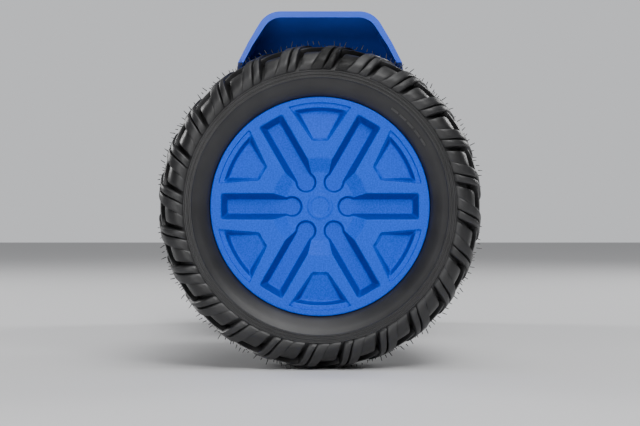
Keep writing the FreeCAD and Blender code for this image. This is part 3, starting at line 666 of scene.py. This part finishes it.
# ------------------------------------------------------------------ CAD finishes
class HOVERBOARD_OT_finishes(bpy.types.Operator):
    """Gives every part of the frame its finish"""
    bl_idname = "hoverboard.finishes"
    bl_label = "Finishes"

    def execute(self, context):
        scene = context.scene
        made = slot_materials(tuple(scene.hoverboard_cover.colour), tuple(scene.hoverboard_tyre.colour))
        slots = {part["node"]: part["material_slot"] for part in frame["record"]["subparts"]}
        for node, piece in frame["nodes"].items():
            if not piece.material_slots:
                piece.data.materials.append(made[slots[node]])
            for holder in piece.material_slots:
                holder.link = "OBJECT"
                holder.material = made[slots[node]]
        return {"FINISHED"}


# ------------------------------------------------------------------ stage
# square lights: name, place in metres, size in metres, power in watts
LIGHTS = (("key", (2.2, 0.4, 1.45), 0.8, 33), ("fill", (2.3, -0.7, 0.3), 1.0, 14),
          ("top", (0.1, 0.0, 2.1), 1.8, 13), ("rear", (-1.5, 1.6, 1.1), 0.9, 26),
          ("edge", (-1.3, -1.8, 1.0), 0.9, 26))
FLOOR_HALF = 6.0
# the camera stands off the right wheel's centre and a little below the axle, in metres
CAMERA_AWAY, CAMERA_DROP = 1.5, 0.0040
SENSOR_MM, FOCAL_MM = 36.0, 134.56


class HOVERBOARD_OT_stage(bpy.types.Operator):
    """Pale floor, soft studio light and the camera that looks along the axle"""
    bl_idname = "hoverboard.stage"
    bl_label = "Stage"

    def execute(self, context):
        scene = context.scene
        bm = bmesh.new()
        bmesh.ops.create_grid(bm, x_segments=2, y_segments=2, size=FLOOR_HALF)
        mesh = bpy.data.meshes.new("floor")
        bm.to_mesh(mesh)
        bm.free()
        floor = bpy.data.objects.new("floor", mesh)
        scene.collection.objects.link(floor)
        mesh.materials.append(material("pale_floor", (0.72, 0.72, 0.73), 0.6))

        # the world lights the object softly, and the camera sees it as a pale backdrop
        world = bpy.data.worlds.new("studio")
        world.use_nodes = True
        nodes, links = world.node_tree.nodes, world.node_tree.links
        soft = nodes["Background"]
        soft.inputs["Color"].default_value = (0.86, 0.88, 0.92, 1)
        soft.inputs["Strength"].default_value = 0.13
        pale = nodes.new("ShaderNodeBackground")
        pale.inputs["Color"].default_value = (0.66, 0.67, 0.69, 1)
        path, both = nodes.new("ShaderNodeLightPath"), nodes.new("ShaderNodeMixShader")
        links.new(path.outputs["Is Camera Ray"], both.inputs[0])
        links.new(soft.outputs[0], both.inputs[1])
        links.new(pale.outputs[0], both.inputs[2])
        links.new(both.outputs[0], nodes["World Output"].inputs["Surface"])
        scene.world = world

        middle = Vector((0.15, 0, 0.11))
        for name, place, size, power in LIGHTS:
            light = bpy.data.lights.new(name, "AREA")
            light.shape, light.size, light.energy = "SQUARE", size, power
            lamp = bpy.data.objects.new(name, light)
            lamp.location = place
            lamp.rotation_euler = (middle - lamp.location).to_track_quat("-Z", "Y").to_euler()
            scene.collection.objects.link(lamp)

        sun = bpy.data.lights.new("overhead", "SUN")
        sun.energy, sun.angle = 1.0, radians(40)
        lamp = bpy.data.objects.new("overhead", sun)
        lamp.rotation_euler = (radians(-12), radians(22), 0)
        scene.collection.objects.link(lamp)

        lens = bpy.data.cameras.new("camera")
        lens.sensor_width, lens.lens = SENSOR_MM, FOCAL_MM
        camera = bpy.data.objects.new("camera", lens)
        camera.location = (WHEEL.x + CAMERA_AWAY, 0, WHEEL.z - CAMERA_DROP)
        camera.rotation_euler = (radians(90), 0, radians(90))
        scene.collection.objects.link(camera)
        scene.camera = camera
        return {"FINISHED"}


# ------------------------------------------------------------------ panel
OPERATORS = (HOVERBOARD_OT_stage, HOVERBOARD_OT_finishes, HOVERBOARD_OT_tyres, HOVERBOARD_OT_covers,
             HOVERBOARD_OT_foot_pads)
GROUPS = {"hoverboard_tyre": HoverboardTyre, "hoverboard_cover": HoverboardCover,
          "hoverboard_pad": HoverboardPad}


class HOVERBOARD_PT_panel(bpy.types.Panel):
    """Sizes, colours and the pieces they make"""
    bl_idname = "HOVERBOARD_PT_panel"
    bl_label = "Hoverboard"
    bl_space_type = "VIEW_3D"
    bl_region_type = "UI"
    bl_category = "Hoverboard"

    def draw(self, context):
        for name, group in GROUPS.items():
            column = self.layout.box().column()
            for prop in group.__annotations__:
                column.prop(getattr(context.scene, name), prop)
        for operator in OPERATORS:
            self.layout.operator(operator.bl_idname)


def register():
    for group in GROUPS.values():
        bpy.utils.register_class(group)
    for name, group in GROUPS.items():
        setattr(bpy.types.Scene, name, bpy.props.PointerProperty(type=group))
    for operator in OPERATORS:
        bpy.utils.register_class(operator)
    bpy.utils.register_class(HOVERBOARD_PT_panel)


def unregister():
    bpy.utils.unregister_class(HOVERBOARD_PT_panel)
    for operator in reversed(OPERATORS):
        bpy.utils.unregister_class(operator)
    for name in GROUPS:
        delattr(bpy.types.Scene, name)
    for group in reversed(GROUPS.values()):
        bpy.utils.unregister_class(group)


def main():
    register()
    for operator in OPERATORS:
        group, name = operator.bl_idname.split(".")
        getattr(getattr(bpy.ops, group), name)()


if __name__ == "__main__":
    main()
